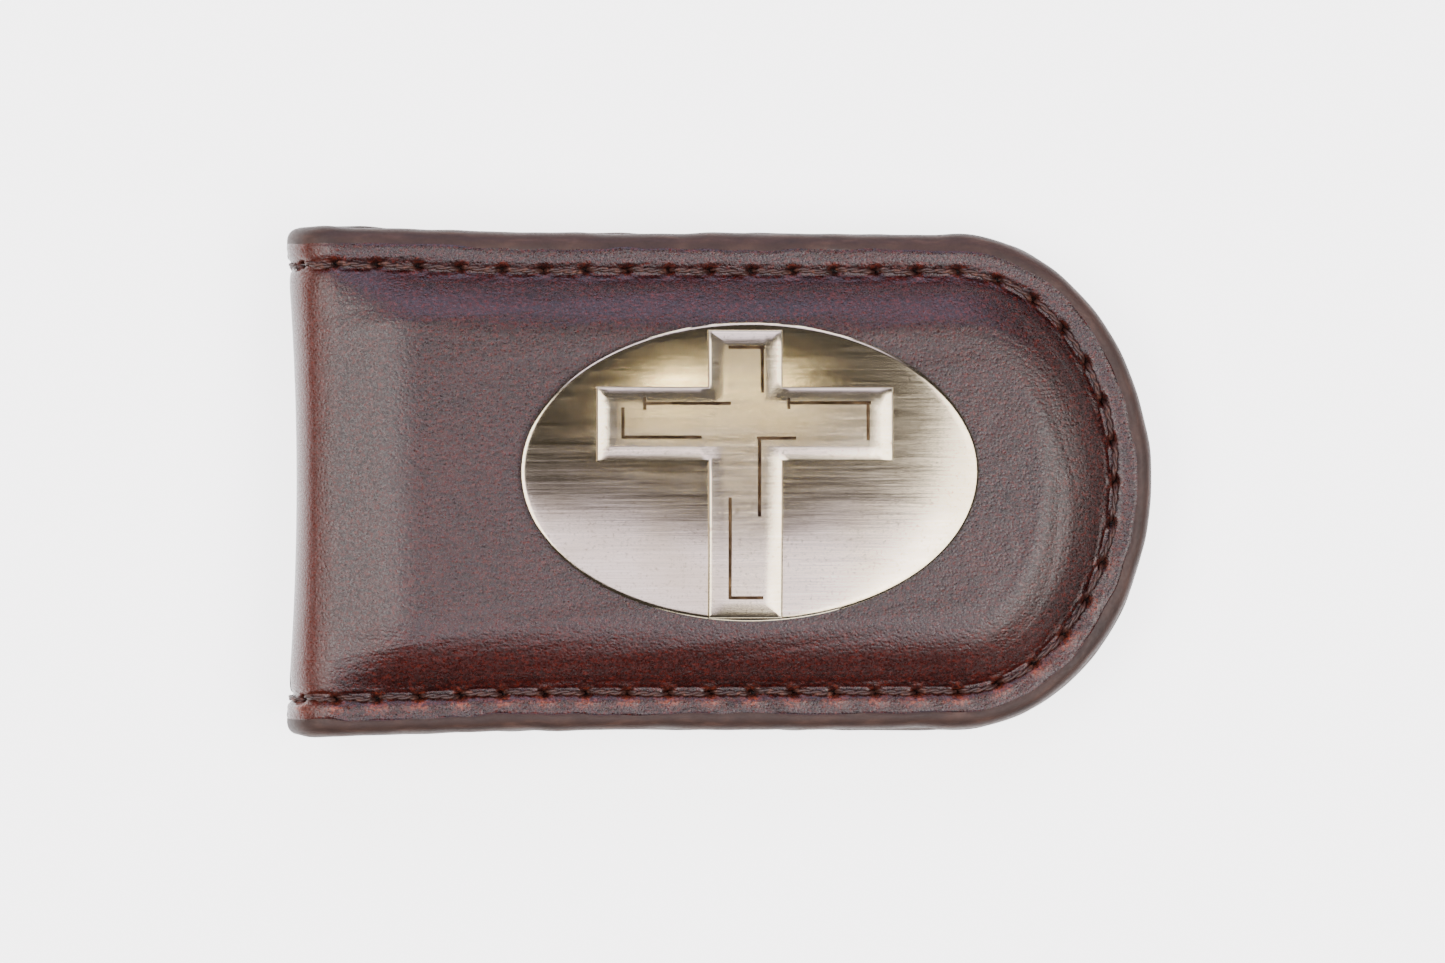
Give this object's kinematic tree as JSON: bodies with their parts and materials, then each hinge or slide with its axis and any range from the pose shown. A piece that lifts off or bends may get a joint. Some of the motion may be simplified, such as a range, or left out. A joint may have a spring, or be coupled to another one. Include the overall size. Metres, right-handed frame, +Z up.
{
  "type": "money clip",
  "caption": "Folded leather money clip with a sewn border, padded leaves that close on hidden magnets, and an oval metal concho with a raised bevelled cross.",
  "frame": {"origin": "middle of the closed clip's bounding box, on the surface that it lies on", "axes": "+X from the fold to the rounded ends, +Y across the clip, +Z up out of the face that carries the concho"},
  "size_m": [0.0729, 0.0426, 0.0134],
  "materials": {
    "cover_leather": "dark brown burnished vegetable-tanned leather, satin wax finish",
    "lining_leather": "dark brown lining leather, matt",
    "filler_board": "bonded fibre board, raw",
    "magnet": "nickel-plated block magnet",
    "nickel_silver": "nickel silver, brushed lengthways",
    "thread": "waxed two-ply polyester thread, dark brown"
  },
  "bodies": {
    "back_leaf": {"back_cover": "cover_leather", "back_lining": "lining_leather", "back_filler": "filler_board", "back_magnet": "magnet", "back_needle_thread": "thread", "back_bobbin_thread": "thread"},
    "fold": {"fold_cover": "cover_leather", "fold_lining": "lining_leather", "fold_needle_thread_left": "thread", "fold_needle_thread_right": "thread", "fold_bobbin_thread_left": "thread", "fold_bobbin_thread_right": "thread"},
    "front_leaf": {"front_cover": "cover_leather", "front_lining": "lining_leather", "front_filler": "filler_board", "front_magnet": "magnet", "front_needle_thread": "thread", "front_bobbin_thread": "thread", "concho": "nickel_silver", "concho_prong_fold": "nickel_silver", "concho_prong_tip": "nickel_silver"}
  },
  "joints": [
    {"name": "fold_lower", "type": "hinge", "parent": "back_leaf", "child": "fold", "pos_m": [-0.03515, 0, 0.00325], "axis": [0, -1, 0], "range_deg": [0, 85], "stiffness_Nm_per_rad": 0.002},
    {"name": "fold_upper", "type": "hinge", "parent": "fold", "child": "front_leaf", "pos_m": [-0.03494, 0, 0.00995], "axis": [0, -1, 0], "range_deg": [0, 85], "stiffness_Nm_per_rad": 0.002}
  ],
  "couplings": [
    {"joint": "fold_upper", "follows": "fold_lower", "ratio": 1}
  ]
}
